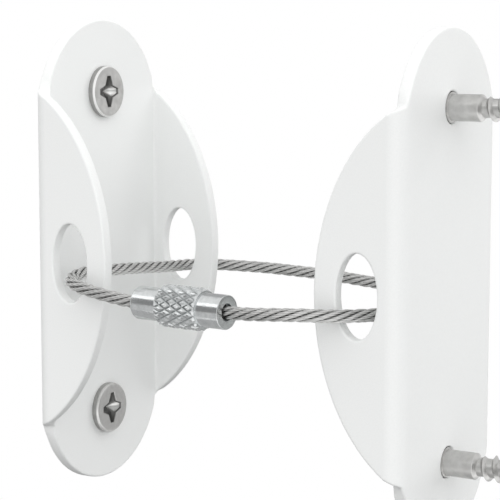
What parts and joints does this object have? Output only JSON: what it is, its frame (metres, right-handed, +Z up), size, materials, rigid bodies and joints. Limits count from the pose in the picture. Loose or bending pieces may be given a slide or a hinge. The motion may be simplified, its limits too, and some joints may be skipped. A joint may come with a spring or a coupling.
{
  "type": "anti-tip furniture strap",
  "caption": "Anti-tip strap: facing bent-sheet brackets with oval-holed ears, joined by a wire rope loop that a knurled screw coupling closes, to tie furniture to a wall.",
  "frame": {"origin": "centre of the wall bracket's back face, on the wall", "axes": "+X from the wall towards the furniture, +Z up, +Y along the wall away from the coupling"},
  "size_m": [0.111, 0.0491, 0.0778],
  "materials": {
    "powder_coat": "satin white powder coat on steel sheet",
    "screw_steel": "plain zinc-plated steel",
    "rope_steel": "stranded stainless steel wire",
    "coupling_nickel": "bright nickel plate"
  },
  "bodies": {
    "wall_side": {"wall_bracket": "powder_coat", "wall_screw_upper": "screw_steel", "wall_screw_lower": "screw_steel"},
    "rope_loop": {"wire_rope": "rope_steel", "threaded_ferrule": "coupling_nickel"},
    "furniture_side": {"furniture_bracket": "powder_coat", "furniture_screw_upper": "screw_steel", "furniture_screw_lower": "screw_steel"},
    "rope_end": {"rope_end_stop": "coupling_nickel"},
    "sleeve": {"knurled_sleeve": "coupling_nickel"}
  },
  "joints": [
    {"name": "loop_swing", "type": "hinge", "parent": "wall_side", "child": "rope_loop", "pos_m": [0.008, 0, -0.003], "axis": [0, 1, 0], "range_deg": [-45, 45]},
    {"name": "furniture_swing", "type": "hinge", "parent": "rope_loop", "child": "furniture_side", "pos_m": [0.0576, 0, -0.0045], "axis": [0, 1, 0], "range_deg": [-45, 45]},
    {"name": "sleeve_travel", "type": "slide", "parent": "rope_loop", "child": "rope_end", "axis": [0.9962, -0.0872, 0], "range_m": [0, 0.005]},
    {"name": "sleeve_turn", "type": "hinge", "parent": "rope_end", "child": "sleeve", "pos_m": [0.0234, -0.0205, -0.0043], "axis": [0.9962, -0.0872, 0], "range_deg": [0, 2580]}
  ],
  "couplings": [
    {"joint": "sleeve_turn", "follows": "sleeve_travel", "rad_per_m": 8976}
  ]
}
